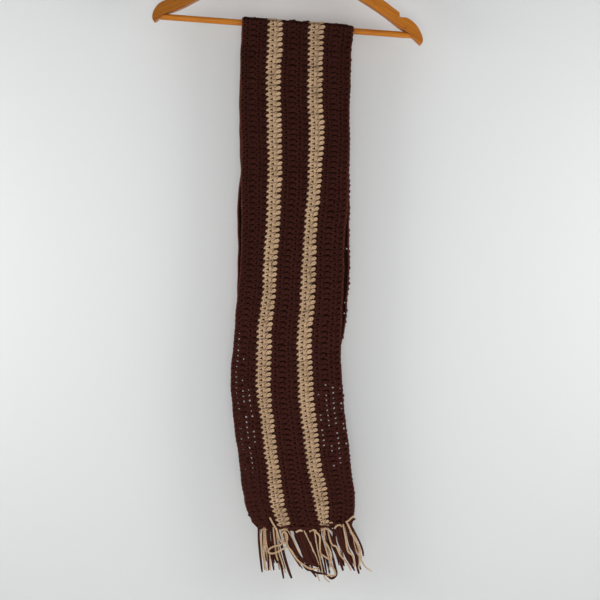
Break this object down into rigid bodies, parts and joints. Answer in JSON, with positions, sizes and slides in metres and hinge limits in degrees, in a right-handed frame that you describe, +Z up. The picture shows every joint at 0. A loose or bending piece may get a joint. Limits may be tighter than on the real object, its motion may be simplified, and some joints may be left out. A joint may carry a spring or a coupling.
{
  "type": "crochet scarf on wooden hanger",
  "caption": "Long fringed crochet scarf with tan stripes along its length, hung folded in half over the bar of a wooden clothes hanger with a wire hook.",
  "frame": {"origin": "point inside the top of the hook where a rail or nail carries the hanger", "axes": "+Z up, +X to the right of the front view along the width of the scarf, +Y from the front fall to the back fall"},
  "size_m": [0.4413, 0.0577, 1.1005],
  "materials": {
    "varnished_wood": "satin",
    "hook_steel": "gloss",
    "brown_yarn": "matte",
    "tan_yarn": "matte"
  },
  "bodies": {
    "root": {"hanger_arm_left": "varnished_wood", "hanger_arm_right": "varnished_wood", "hanger_bar": "varnished_wood", "hanger_hook": "hook_steel", "panel_left_front": "brown_yarn", "panel_left_over_bar": "brown_yarn", "panel_left_back": "brown_yarn", "stripe_left_front": "tan_yarn", "stripe_left_over_bar": "tan_yarn", "stripe_left_back": "tan_yarn", "panel_middle_front": "brown_yarn", "panel_middle_over_bar": "brown_yarn", "panel_middle_back": "brown_yarn", "stripe_right_front": "tan_yarn", "stripe_right_over_bar": "tan_yarn", "stripe_right_back": "tan_yarn", "panel_right_front": "brown_yarn", "panel_right_over_bar": "brown_yarn", "panel_right_back": "brown_yarn", "fringe_front": "brown_yarn", "fringe_back": "brown_yarn"}
  },
  "joints": []
}
